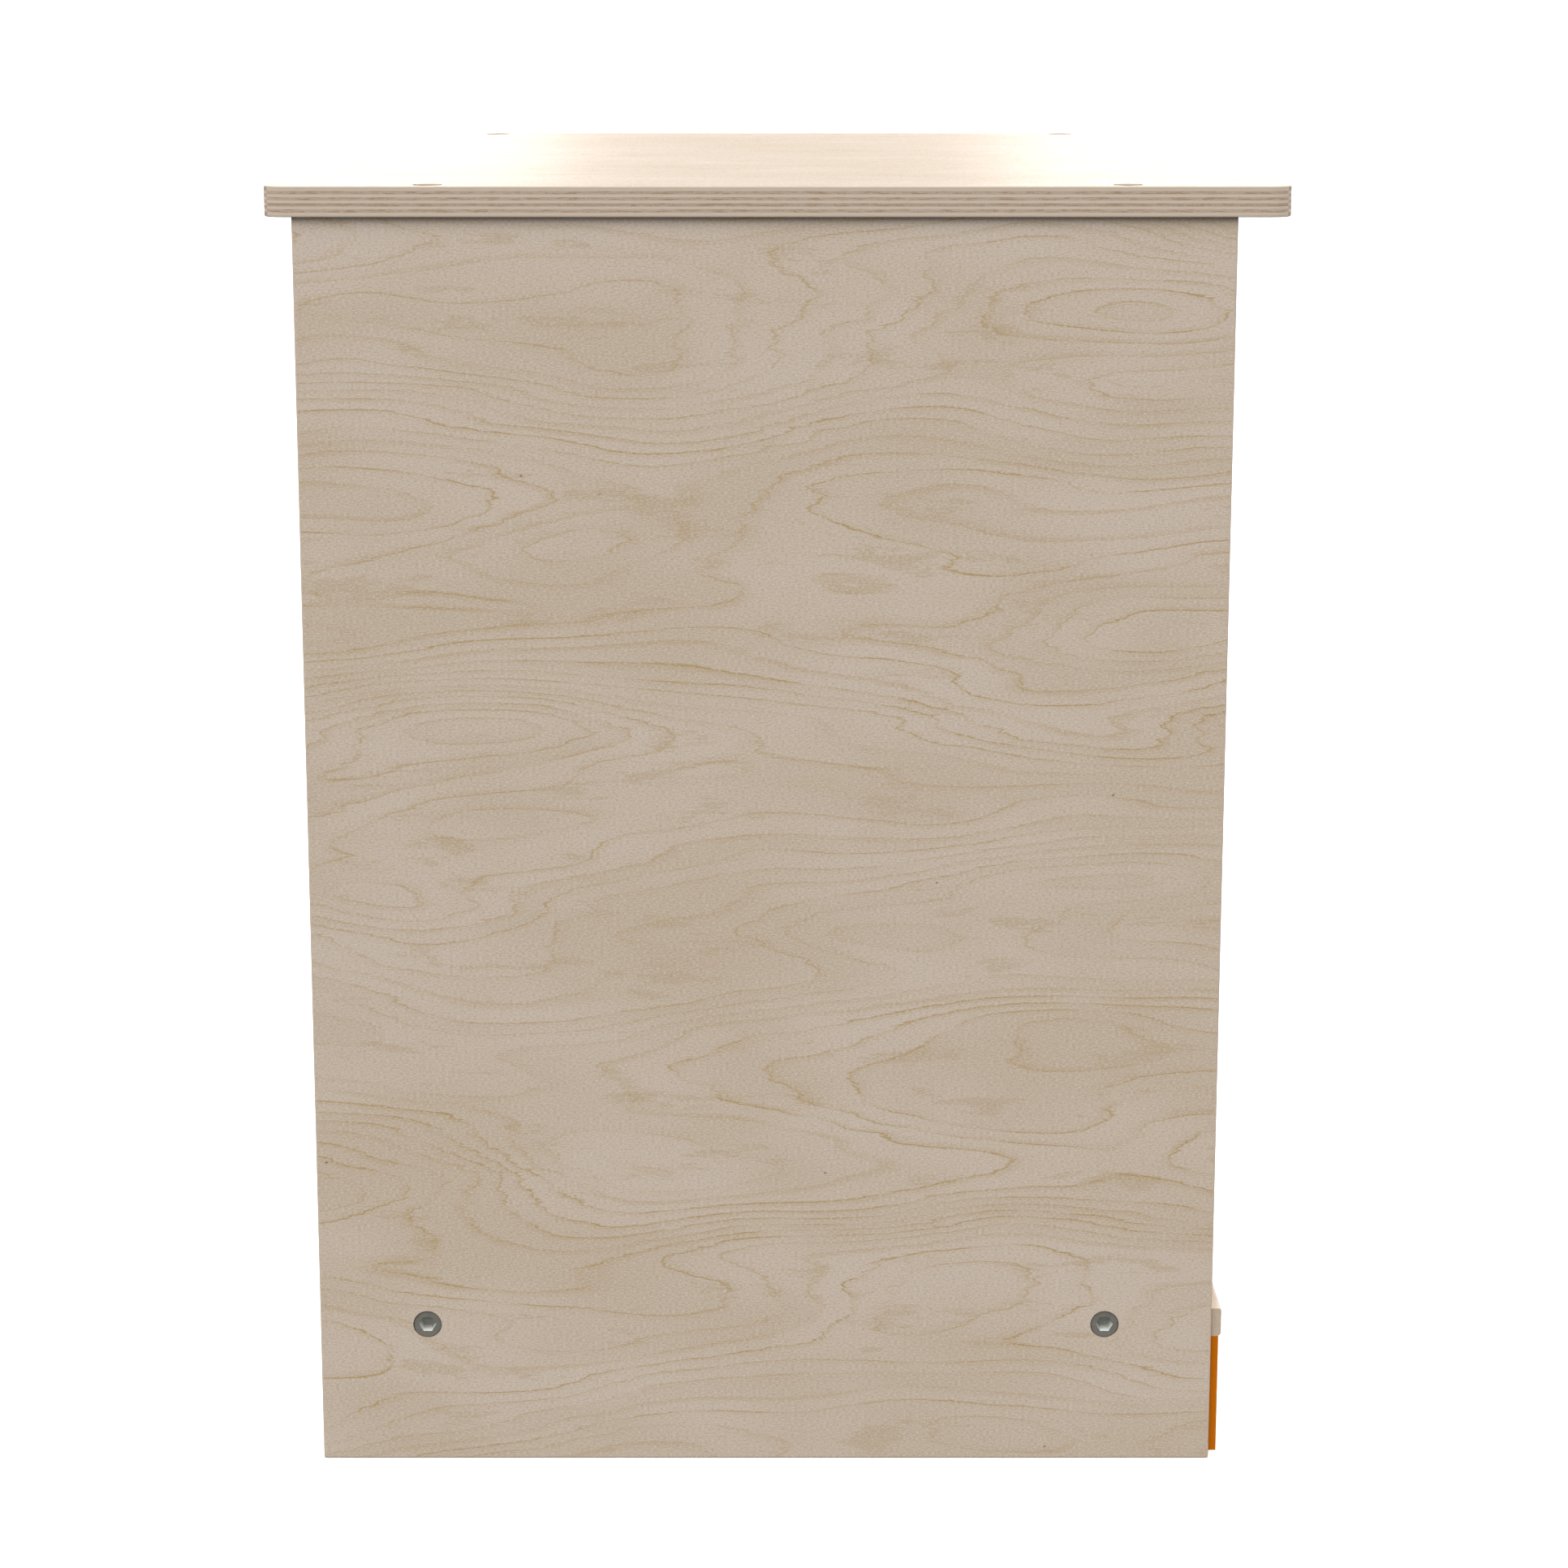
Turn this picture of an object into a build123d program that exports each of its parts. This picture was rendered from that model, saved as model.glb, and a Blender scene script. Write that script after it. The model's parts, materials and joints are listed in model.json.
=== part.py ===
"""Book drop box: a plywood cabinet with a book slot, an inward-swinging flap, a chute and a locked door.

Millimetres. +Z is up, the front faces -Y, and the origin is at the middle of the footprint, on the floor.
"""
from build123d import *
import os
from math import cos, radians, sin

# ---- Boards -------------------------------------------------------------------------------------
board = 18.0                 # thickness of the sides, top, shelf, rail, fascia, door and chute
back_board = 12.0            # thickness of the back panel
kick_board_thickness = 5.0
side_depth = 554.0           # side panel, front edge to back edge
side_height = 772.0          # side panel, floor to the underside of the top
body_width = 597.0           # over the outer faces of the two side panels
front_overhang = 31.5        # of the top, past the side panels
back_overhang = 16.5
side_overhang = 4.5
top_corner_radius = 13.0     # of the top, seen from above
top_edge_round = 0.8
edge_round = 1.2             # of the other boards' showing edges
overshoot = 1.0              # of a cutting tool, past the face it cuts

# ---- Lower front --------------------------------------------------------------------------------
shelf_centre_height = 88.6   # middle of the shelf's thickness above the floor
lipping_thickness = 6.5      # of the strip in front of the shelf and the side panels' front edges
lipping_upper_round = 1.6
lipping_lower_round = 2.4
lip_end_inset = 4.0          # of the lipping's and kick board's ends, from the side panels' outer faces
kick_floor_gap = 4.0
kick_edge_round = 0.5
kick_screw_count = 4
kick_screw_inset = 56.0      # from the side panels' inner faces
kick_screw_bite = 3.7        # into the kick board
rail_floor_gap = 12.0
rail_dowel_inset = 20.0      # from the rail's upper and lower edges

# ---- Back panel groove --------------------------------------------------------------------------
back_inset = 12.0            # of the back panel, from the side panels' back edges
groove_depth = 6.0
groove_play = 0.2

# ---- Connector bolts and barrel nuts ------------------------------------------------------------
bolt_head_radius = 8.5
bolt_head_height = 13.0
bolt_head_round = 0.4
bolt_radius = 4.0
socket_across_flats = 9.2
socket_depth = 11.4
bolt_hole_play = 0.25
bolt_hole_end = 2.0          # of a bolt's hole, past the bolt's tip
counterbore_play = 0.3
top_head_recess = 0.9        # of a head's face, below the top's surface
side_head_recess = 0.9       # of a head's face, below the side panel's surface
shelf_bolt_inset = 66.5      # from the side panels' front and back edges
top_bolt_inset = 95.7        # from the top's front and back edges
nut_radius = 6.0
nut_length = 14.0
nut_distance = 30.0          # of a nut's axis, into the board that holds it
nut_play = 0.15
nut_bore_play = 0.05
nut_hole_floor = 2.0         # wood left under a nut's blind hole
bolt_tip = 9.0               # of a bolt, past the nut's axis
nut_slot_width = 1.6
nut_slot_depth = 1.8

# ---- Dowels and screws --------------------------------------------------------------------------
dowel_radius = 4.0
dowel_play = 0.05
dowel_face_depth = 11.0      # into the board whose face is drilled
dowel_end_depth = 17.0       # into the board whose edge is drilled
dowel_chamfer = 0.8
dowel_end_gap = 0.5          # left at each end of a dowel's hole
shelf_dowel_offset = 70.0    # from a shelf bolt, towards the middle
top_dowel_offset = 100.0     # from a top bolt, towards the middle
fascia_dowel_x = 120.0       # of the fascia's dowels into the top, from the middle
fascia_dowel_inset = 30.0    # from the fascia's upper and lower edges
screw_radius = 2.0
screw_head_radius = 3.8
screw_head_height = 2.2
screw_head_rim = 0.3
screw_tip = 3.0
screw_play = 0.1
screw_recess_width = 0.9
screw_recess_length = 4.0
screw_recess_depth = 1.2

# ---- Front fascia, slot and flap ----------------------------------------------------------------
front_recess = 5.0           # of the fascia and the door, behind the side panels' front edges
fascia_height = 220.0
slot_width = 400.0
slot_height = 80.0
slot_corner_radius = 18.0
slot_top_margin = 60.0       # fascia left above the slot
slot_edge_round = 3.0
flap_margin = 12.0           # of the flap, past each end of the slot
flap_overlap = 10.0          # of the flap, below the slot
flap_sheet = 1.5
flap_flange = 12.0
flap_flange_start = 12.0     # of the side flanges, below the rod's axis
flap_foot_round = 1.35
flap_rod_radius = 3.0
flap_rod_play = 0.06
flap_rod_rise = 14.0         # of the rod's axis, above the slot
curl_wall = 1.54
rod_standoff = 7.2           # of the rod's axis, from the fascia's back
rod_chamfer = 0.5
flap_buffer_gap = 0.25
flap_buffer_radius = 4.0
flap_buffer_round = 1.0
flap_buffer_inset = 50.0     # from the ends of the slot

# ---- Flap brackets ------------------------------------------------------------------------------
bracket_sheet = 1.8
bracket_gap = 1.0            # between the flap's end and a bracket
bracket_ear_reach = 7.0      # of the ear, round the rod's axis
bracket_ear_round = 6.6
bracket_hole_play = 0.02
bracket_foot_width = 24.0
bracket_foot_height = 34.0
bracket_foot_round = 4.0
bracket_screw_pitch = 20.0
rod_end = 4.0                # of the rod, past a bracket
clip_thickness = 1.0
clip_radius = 5.0
clip_groove_depth = 0.6
clip_play = 0.05
clip_gap = 0.2
clip_mouth = 3.9
short_screw = 15.0

# ---- Chute --------------------------------------------------------------------------------------
chute_slope = 30.0           # degrees below level
chute_length = 230.0         # along the slope
chute_drop = 24.0            # from the slot's lower edge to the chute
chute_gap = 1.0              # to the fascia and to the side panels
chute_end_round = 2.4
cleat_size = 18.0
cleat_start = 40.0           # along the slope
cleat_end = 200.0
chute_screw_length = 32.0
chute_screw_inset = 20.0     # from a cleat's ends
cleat_screw_length = 30.0
cleat_screw_inset = 50.0     # from a cleat's ends

# ---- Door, pivots and stop ----------------------------------------------------------------------
door_gap = 2.5               # to the side panels
door_end_gap = 3.0           # to the shelf and to the fascia
finger_hole_radius = 15.0
finger_hole_rise = 75.0      # above the lock
finger_hole_round = 3.0
door_nose_flat = 0.1         # left on the pivot edge behind its rounding
pivot_radius = 3.0
pivot_play = 0.05
pivot_press_play = 0.02
pivot_pin_chamfer = 0.4
pivot_hole_play = 0.5
pivot_depth = 10.0           # of a pin, into each board
pivot_plate_length = 50.0
pivot_plate_width = 13.0
pivot_plate_thickness = 2.0
pivot_plate_end = 7.0        # from the plate's near end to the pin
pivot_plate_play = 0.1
pivot_plate_round = 2.0
pivot_screw_first = 20.0     # from the pin
pivot_screw_second = 36.0
washer_radius = 6.0
washer_bore_play = 0.3
washer_gap = 0.3
stop_width = 18.0
stop_thickness = 12.0
stop_end_gap = 20.0
stop_screw_inset = 40.0
stop_screw_length = 30.0
door_buffer_thickness = 1.5
door_buffer_radius = 5.0
door_buffer_round = 0.5
door_buffer_gap = 0.3
door_buffer_inset = 80.0     # from the stop's ends

# ---- Cam lock -----------------------------------------------------------------------------------
lock_inset = 32.0            # of the lock's axis, from the door's edge
lock_flange_radius = 12.0
lock_flange_thickness = 2.0
lock_flange_round = 0.8
lock_barrel_radius = 9.5
lock_barrel_play = 0.3
lock_plug_radius = 6.0
lock_plug_play = 0.05
lock_plug_recess = 0.3
lock_plug_round = 0.4
lock_nut_across_flats = 24.0
lock_nut_thickness = 5.0
lock_nut_play = 0.05
keyway_width = 1.4
keyway_height = 7.0
keyway_depth = 6.0
cam_gap = 0.7                # between the cam and the stop
cam_thickness = 2.0
cam_width = 16.0
cam_length = 31.0            # from the lock's axis to the cam's tip
cam_tip_round = 4.8
cam_square = 6.0
cam_square_play = 0.05
plug_shoulder_gap = 0.3      # between the barrel's end and the cam
cam_screw_radius = 2.0
cam_screw_bite = 6.0         # of its shank, from the cam's back
cam_screw_hole_play = 0.05
cam_screw_head_radius = 4.0
cam_screw_head_height = 2.4
cam_screw_head_round = 1.0

# ---- Planes worked out from the sizes above -------------------------------------------------------
top_depth = side_depth + front_overhang + back_overhang
top_width = body_width + 2 * side_overhang
y_top_front = -top_depth / 2
y_front = y_top_front + front_overhang
y_back = y_front + side_depth
x_outer = body_width / 2
x_inner = x_outer - board
x_side_middle = x_outer - board / 2
x_lip = x_outer - lip_end_inset
z_shelf_low = shelf_centre_height - board / 2
z_shelf_top = shelf_centre_height + board / 2
z_top = side_height + board

y_back_panel = y_back - back_inset - back_board
y_face = y_front + front_recess
y_face_middle = y_face + board / 2
y_face_back = y_face + board
z_fascia_low = side_height - fascia_height
z_slot_top = side_height - slot_top_margin
z_slot_low = z_slot_top - slot_height

curl_radius = flap_rod_radius + flap_rod_play + curl_wall
y_rod = y_face_back + rod_standoff
z_rod = z_slot_top + flap_rod_rise
z_flap_low = z_slot_low - flap_overlap
x_flap = slot_width / 2 + flap_margin
x_bracket = x_flap + bracket_gap
flap_buffer_thickness = y_rod - flap_sheet / 2 - flap_buffer_gap - y_face_back

z_chute = z_slot_low - chute_drop
x_chute = x_inner - chute_gap

z_door_low = z_shelf_top + door_end_gap
z_door_top = z_fascia_low - door_end_gap
x_door = x_inner - door_gap
x_pivot = -x_door + board / 2
y_stop = y_face_back + door_buffer_gap + door_buffer_thickness
y_stop_back = y_stop + stop_thickness
z_lock = (z_door_low + z_door_top) / 2
x_lock = x_door - lock_inset
y_cam = y_stop_back + cam_gap

shelf_bolt_places = [y_front + shelf_bolt_inset, y_back - shelf_bolt_inset]
top_bolt_places = [y_top_front + top_bolt_inset, -y_top_front - top_bolt_inset]
shelf_dowel_places = [shelf_bolt_places[0] + shelf_dowel_offset, shelf_bolt_places[1] - shelf_dowel_offset]
top_dowel_places = [top_bolt_places[0] + top_dowel_offset, top_bolt_places[1] - top_dowel_offset]
fascia_dowel_heights = [z_fascia_low + fascia_dowel_inset, side_height - fascia_dowel_inset]
rail_dowel_heights = [rail_floor_gap + rail_dowel_inset, z_shelf_low - rail_dowel_inset]
x_kick_screw = x_inner - kick_screw_inset
kick_screw_pitch = 2 * x_kick_screw / (kick_screw_count - 1)
kick_screw_places = [i * kick_screw_pitch - x_kick_screw for i in range(kick_screw_count)]
kick_screw_height = (rail_floor_gap + z_shelf_low) / 2
kick_screw_length = board + kick_screw_bite

LEFT = -1
RIGHT = 1
BASE = (Align.CENTER, Align.CENTER, Align.MIN)


# ---- Plain shapes ---------------------------------------------------------------------------------
def block(x0, x1, y0, y1, z0, z1):
    """A box between two corners."""
    middle = Pos((x0 + x1) / 2, (y0 + y1) / 2, (z0 + z1) / 2)
    return middle * Box(abs(x1 - x0), abs(y1 - y0), abs(z1 - z0))


def facing(point, direction):
    """A plane at a point, with its Z along a direction and its X level."""
    level = (0, 1, 0) if abs(direction[0]) > 0.5 else (1, 0, 0)
    return Plane(origin=point, x_dir=level, z_dir=direction)


def round_bar(point, direction, length, radius):
    """A cylinder that starts at a point and runs along a direction."""
    return facing(point, direction) * Cylinder(radius, length, align=BASE)


def hex_bar(point, direction, length, across_flats):
    """A hexagonal bar that starts at a point, with two of its flats level."""
    outline = RegularPolygon(radius=across_flats / 2, side_count=6, major_radius=False)
    return facing(point, direction) * extrude(outline, amount=length)


def lathe(points):
    """A solid turned about Z from (radius, height) points."""
    outline = make_face(Polyline(*[(r, 0, z) for r, z in points], close=True))
    return revolve(outline, axis=Axis.Z)


def soften(solid, radius, keep_sharp_above=None):
    """Round every edge, or every edge whose middle is below a height."""
    edges = solid.edges()
    if keep_sharp_above is not None:
        edges = [edge for edge in edges if edge.center().Z < keep_sharp_above]
    return fillet(edges, radius)


# ---- Fasteners ------------------------------------------------------------------------------------
def bolt_shank_length(wood_under_head):
    """From the underside of a head to the tip, past the barrel nut."""
    return wood_under_head + nut_distance + bolt_tip


def connector_bolt(point, direction, wood_under_head):
    """A flat-headed bolt with a hexagon socket; the point is the middle of its head's face."""
    head = fillet(Cylinder(bolt_head_radius, bolt_head_height, align=BASE).edges(), bolt_head_round)
    reach = bolt_head_height + bolt_shank_length(wood_under_head)
    body = head + Cylinder(bolt_radius, reach, align=BASE)
    outline = RegularPolygon(radius=socket_across_flats / 2, side_count=6, major_radius=False)
    return facing(point, direction) * (body - extrude(outline, amount=socket_depth))


def bolt_hole(point, direction, head_recess, wood_under_head):
    """The counterbore and shank hole; the point is on the board's face."""
    head_depth = head_recess + bolt_head_height
    counterbore = Cylinder(bolt_head_radius + counterbore_play, head_depth, align=BASE)
    reach = head_depth + bolt_shank_length(wood_under_head) + bolt_hole_end
    bore = Cylinder(bolt_radius + bolt_hole_play, reach, align=BASE)
    return facing(point, direction) * (counterbore + bore)


def barrel_nut(mouth, direction, bolt_direction):
    """A cross dowel; the mouth is the middle of its blind hole's mouth, on the board's face."""
    deep = board - nut_hole_floor - nut_length
    nut = facing(mouth, direction) * (Pos(0, 0, deep) * Cylinder(nut_radius, nut_length, align=BASE))
    middle = Vector(*mouth) + Vector(*direction) * (board / 2)
    start = middle - Vector(*bolt_direction) * (2 * nut_radius)
    nut -= round_bar(tuple(start), bolt_direction, 4 * nut_radius, bolt_radius + nut_bore_play)
    slot = Pos(0, 0, deep) * Box(2 * nut_radius, nut_slot_width, 2 * nut_slot_depth)
    return nut - facing(mouth, direction) * slot


def nut_hole(mouth, direction):
    """The blind hole that a barrel nut drops into."""
    return round_bar(mouth, direction, board - nut_hole_floor, nut_radius + nut_play)


def dowel(joint_point, direction):
    """A glued wooden dowel; its direction runs from the drilled face into the drilled edge."""
    start = Vector(*joint_point) - Vector(*direction) * (dowel_face_depth - dowel_end_gap)
    length = dowel_face_depth + dowel_end_depth - 2 * dowel_end_gap
    pin = chamfer(Cylinder(dowel_radius, length, align=BASE).edges(), dowel_chamfer)
    return facing(tuple(start), direction) * pin


def dowel_holes(joint_point, direction):
    """The pair of blind holes for one dowel, in line."""
    start = Vector(*joint_point) - Vector(*direction) * dowel_face_depth
    length = dowel_face_depth + dowel_end_depth
    return round_bar(tuple(start), direction, length, dowel_radius + dowel_play)


def screw_body(length, grow):
    """A countersunk screw's outline, or its hole when grown."""
    shank = screw_radius + grow
    head = screw_head_radius + grow
    points = [(0, 0), (head, 0), (head, screw_head_rim), (shank, screw_head_height + screw_head_rim)]
    points += [(shank, length - screw_tip + grow), (0, length + 2 * grow)]
    return lathe(points)


def wood_screw(point, direction, length):
    """A countersunk screw with a cross recess; the point is the middle of its head's face."""
    recess = Box(screw_recess_length, screw_recess_width, 2 * screw_recess_depth)
    recess += Box(screw_recess_width, screw_recess_length, 2 * screw_recess_depth)
    return facing(point, direction) * (screw_body(length, 0) - recess)


def screw_hole(point, direction, length):
    """The pilot hole and countersink for a screw."""
    return facing(point, direction) * screw_body(length, screw_play)


# ---- Where the fasteners go -------------------------------------------------------------------------
def shelf_bolt_points(side):
    """Points on a side panel's outer face."""
    return [(side * x_outer, y, shelf_centre_height) for y in shelf_bolt_places]


def top_bolt_points(side):
    """Points on the top's upper surface."""
    return [(side * x_side_middle, y, z_top) for y in top_bolt_places]


def shelf_nut_mouths(side):
    """Points on the shelf's underside."""
    return [(side * (x_inner - nut_distance), y, z_shelf_low) for y in shelf_bolt_places]


def top_nut_mouths(side):
    """Points on a side panel's inner face."""
    return [(side * x_inner, y, side_height - nut_distance) for y in top_bolt_places]


def side_dowel_joints(side):
    """Dowels from a side panel's inner face into the ends of the shelf, rail and fascia."""
    joints = {}
    joints["shelf"] = [(side * x_inner, y, shelf_centre_height) for y in shelf_dowel_places]
    joints["rail"] = [(side * x_inner, y_front + board / 2, z) for z in rail_dowel_heights]
    joints["fascia"] = [(side * x_inner, y_face_middle, z) for z in fascia_dowel_heights]
    return joints


def top_dowel_points():
    """Dowels from the top's underside into the side panels and the fascia."""
    points = [(side * x_side_middle, y, side_height) for side in (LEFT, RIGHT) for y in top_dowel_places]
    return points + [(side * fascia_dowel_x, y_face_middle, side_height) for side in (LEFT, RIGHT)]


def chute_plane():
    """On the chute's upper surface at its front edge; local Y runs down the slope."""
    slope = radians(chute_slope)
    return Plane(origin=(0, y_face_back, z_chute), x_dir=(1, 0, 0), z_dir=(0, sin(slope), cos(slope)))


def on_chute(x, along, below):
    """A point given by its distance down the slope and its depth under the chute's surface."""
    return tuple(chute_plane().from_local_coords(Vector(x, along, -below)))


def chute_screw_points(side):
    """Points on the chute's upper surface, over a cleat."""
    places = [cleat_start + chute_screw_inset, cleat_end - chute_screw_inset]
    return [on_chute(side * (x_inner - cleat_size / 2), along, 0) for along in places]


def cleat_screw_points(side):
    """Points on a cleat's inner side."""
    places = [cleat_start + cleat_screw_inset, cleat_end - cleat_screw_inset]
    return [on_chute(side * (x_inner - cleat_size), along, board + cleat_size / 2) for along in places]


def stop_screw_points():
    """Points on the door stop's inner side."""
    low = z_door_low + stop_end_gap + stop_screw_inset
    high = z_door_top - stop_end_gap - stop_screw_inset
    heights = [low, (low + high) / 2, high]
    return [(x_inner - stop_width, y_stop + stop_thickness / 2, z) for z in heights]


def kick_screw_points():
    """Points on the plinth rail's back."""
    return [(x, y_front + board, kick_screw_height) for x in kick_screw_places]


def bracket_screw_points(side):
    """Points on a flap bracket's foot."""
    x = side * (x_bracket + bracket_sheet + (bracket_foot_width - bracket_sheet) / 2)
    y = y_face_back + bracket_sheet
    return [(x, y, z_rod + offset * bracket_screw_pitch) for offset in (-0.5, 0.5)]


def pivot_screw_points(z):
    """Points on a pivot plate, at its height."""
    return [(x_pivot + offset, y_face_middle, z) for offset in (pivot_screw_first, pivot_screw_second)]


def cut_all(solid, tools):
    """A solid with every tool cut out of it."""
    for tool in tools:
        solid = solid - tool
    return solid


# ---- Cabinet boards ---------------------------------------------------------------------------------
def side_panel(side):
    panel = block(side * x_inner, side * x_outer, y_front, y_back, 0, side_height)
    panel = soften(panel, edge_round, keep_sharp_above=side_height - overshoot)
    inward = (-side, 0, 0)
    outward = (side, 0, 0)
    tools = [bolt_hole(point, inward, side_head_recess, board) for point in shelf_bolt_points(side)]
    tools += [bolt_hole(point, (0, 0, -1), top_head_recess, board) for point in top_bolt_points(side)]
    tools += [nut_hole(mouth, outward) for mouth in top_nut_mouths(side)]
    for joints in side_dowel_joints(side).values():
        tools += [dowel_holes(point, inward) for point in joints]
    tools += [dowel_holes(point, (0, 0, -1)) for point in top_dowel_points() if point[0] * side > x_inner]
    tools += [screw_hole(point, outward, cleat_screw_length) for point in cleat_screw_points(side)]
    if side == RIGHT:
        tools += [screw_hole(point, outward, stop_screw_length) for point in stop_screw_points()]
    groove_low = z_shelf_top - groove_depth
    tools.append(block(side * (x_inner - overshoot), side * (x_inner + groove_depth), y_back_panel,
                       y_back_panel + back_board, groove_low, side_height + overshoot))
    return cut_all(panel, tools)


def top_panel():
    panel = block(-top_width / 2, top_width / 2, -top_depth / 2, top_depth / 2, side_height, z_top)
    panel = fillet(panel.edges().filter_by(Axis.Z), top_corner_radius)
    rims = panel.faces().sort_by(Axis.Z)[-1].edges() + panel.faces().sort_by(Axis.Z)[0].edges()
    panel = fillet(rims, top_edge_round)
    tools = []
    for side in (LEFT, RIGHT):
        tools += [bolt_hole(point, (0, 0, -1), top_head_recess, board) for point in top_bolt_points(side)]
    tools += [dowel_holes(point, (0, 0, -1)) for point in top_dowel_points()]
    reach = x_inner + groove_depth
    tools.append(block(-reach, reach, y_back_panel, y_back_panel + back_board,
                       side_height - overshoot, side_height + groove_depth))
    return cut_all(panel, tools)


def bottom_shelf():
    shelf = block(-x_inner, x_inner, y_front, y_back, z_shelf_low, z_shelf_top)
    tools = [pivot_plate_recess(z_shelf_top, 1), pivot_hole(z_shelf_top, -1, pivot_radius + pivot_play)]
    tools += [screw_hole(point, (0, 0, -1), short_screw) for point in pivot_screw_points(z_shelf_top)]
    for side in (LEFT, RIGHT):
        inward = (-side, 0, 0)
        tools += [bolt_hole(point, inward, side_head_recess, board) for point in shelf_bolt_points(side)]
        tools += [nut_hole(mouth, (0, 0, 1)) for mouth in shelf_nut_mouths(side)]
        tools += [dowel_holes(point, inward) for point in side_dowel_joints(side)["shelf"]]
    tools.append(block(-x_inner - overshoot, x_inner + overshoot, y_back_panel, y_back_panel + back_board,
                       z_shelf_top - groove_depth, z_shelf_top + overshoot))
    return cut_all(shelf, tools)


def shelf_lipping():
    """The solid birch strip glued over the shelf's front edge and the side panels' front edges."""
    strip = block(-x_lip, x_lip, y_front - lipping_thickness, y_front, z_shelf_low, z_shelf_top)
    front_edges = strip.edges().filter_by(Axis.X).group_by(Axis.Y)[0].sort_by(Axis.Z)
    strip = fillet(front_edges[-1], lipping_upper_round)
    lowest = strip.edges().filter_by(Axis.X).group_by(Axis.Z)[0].sort_by(Axis.Y)[0]
    return fillet(lowest, lipping_lower_round)


def plinth_rail():
    rail = block(-x_inner, x_inner, y_front, y_front + board, rail_floor_gap, z_shelf_low)
    tools = [screw_hole(point, (0, -1, 0), kick_screw_length) for point in kick_screw_points()]
    for side in (LEFT, RIGHT):
        tools += [dowel_holes(point, (-side, 0, 0)) for point in side_dowel_joints(side)["rail"]]
    return cut_all(rail, tools)


def kick_board():
    front = y_front - kick_board_thickness
    panel = block(-x_lip, x_lip, front, y_front, kick_floor_gap, z_shelf_low)
    panel = fillet(panel.edges().filter_by(Axis.Z).group_by(Axis.Y)[0], kick_edge_round)
    tools = [screw_hole(point, (0, -1, 0), kick_screw_length) for point in kick_screw_points()]
    return cut_all(panel, tools)


def back_panel():
    reach = x_inner + groove_depth - groove_play
    low = z_shelf_top - groove_depth + groove_play
    high = side_height + groove_depth - groove_play
    front = y_back_panel + groove_play
    return block(-reach, reach, front, front + back_board - 2 * groove_play, low, high)


def front_fascia():
    panel = block(-x_inner, x_inner, y_face, y_face_back, z_fascia_low, side_height)
    low_edges = panel.edges().filter_by(Axis.X).group_by(Axis.Z)[0]
    panel = fillet(low_edges, edge_round)
    outline = RectangleRounded(slot_width, slot_height, slot_corner_radius)
    middle = facing((0, y_face - overshoot, (z_slot_top + z_slot_low) / 2), (0, 1, 0))
    panel -= middle * extrude(outline, amount=board + 2 * overshoot)
    slot_rim = [edge for edge in panel.faces().sort_by(Axis.Y)[0].edges()
                if abs(edge.center().X) < x_inner - overshoot
                and z_slot_low - overshoot < edge.center().Z < z_slot_top + overshoot]
    panel = fillet(slot_rim, slot_edge_round)
    tools = [pivot_plate_recess(z_fascia_low, -1), pivot_hole(z_fascia_low, 1, pivot_radius + pivot_play)]
    tools += [screw_hole(point, (0, 0, 1), short_screw) for point in pivot_screw_points(z_fascia_low)]
    for side in (LEFT, RIGHT):
        tools += [dowel_holes(point, (-side, 0, 0)) for point in side_dowel_joints(side)["fascia"]]
        tools += [screw_hole(point, (0, -1, 0), short_screw) for point in bracket_screw_points(side)]
    tools += [dowel_holes(point, (0, 0, -1)) for point in top_dowel_points()]
    return cut_all(panel, tools)


# ---- Drop flap ------------------------------------------------------------------------------------
def drop_flap():
    curl = round_bar((-x_flap, y_rod, z_rod), (1, 0, 0), 2 * x_flap, curl_radius)
    front = y_rod - flap_sheet / 2
    back = front + flap_flange
    sheet = block(-x_flap, x_flap, front, front + flap_sheet, z_flap_low, z_rod)
    foot = block(-x_flap, x_flap, front, back, z_flap_low, z_flap_low + flap_sheet)
    flap = curl + sheet - foot
    flap += fillet(foot.edges().filter_by(Axis.X).group_by(Axis.Y)[0].sort_by(Axis.Z)[0], flap_foot_round)
    low = z_flap_low + flap_sheet / 2
    for side in (LEFT, RIGHT):
        inner = side * (x_flap - flap_sheet)
        flap += block(inner, side * x_flap, front, back, low, z_rod - flap_flange_start)
    return flap - round_bar((-x_flap - overshoot, y_rod, z_rod), (1, 0, 0), 2 * (x_flap + overshoot),
                            flap_rod_radius + flap_rod_play)


def flap_rod():
    reach = x_bracket + bracket_sheet + rod_end
    rod = chamfer(Cylinder(flap_rod_radius, 2 * reach).edges(), rod_chamfer)
    for side in (LEFT, RIGHT):
        ring = Cylinder(flap_rod_radius + overshoot, clip_thickness + 2 * clip_play)
        ring -= Cylinder(flap_rod_radius - clip_groove_depth, clip_thickness + 2 * clip_play)
        rod -= Pos(0, 0, side * clip_place()) * ring
    return facing((0, y_rod, z_rod), (1, 0, 0)) * rod


def clip_place():
    """The middle of a rod clip, from the middle of the rod."""
    return x_bracket + bracket_sheet + clip_gap + clip_thickness / 2


def rod_clip(side):
    ring = Cylinder(clip_radius, clip_thickness)
    ring -= Cylinder(flap_rod_radius - clip_groove_depth + clip_play, clip_thickness + overshoot)
    mouth = Pos(0, -clip_radius, 0) * Box(clip_mouth, 2 * clip_radius, clip_thickness + overshoot)
    return facing((side * clip_place(), y_rod, z_rod), (1, 0, 0)) * (ring - mouth)


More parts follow.
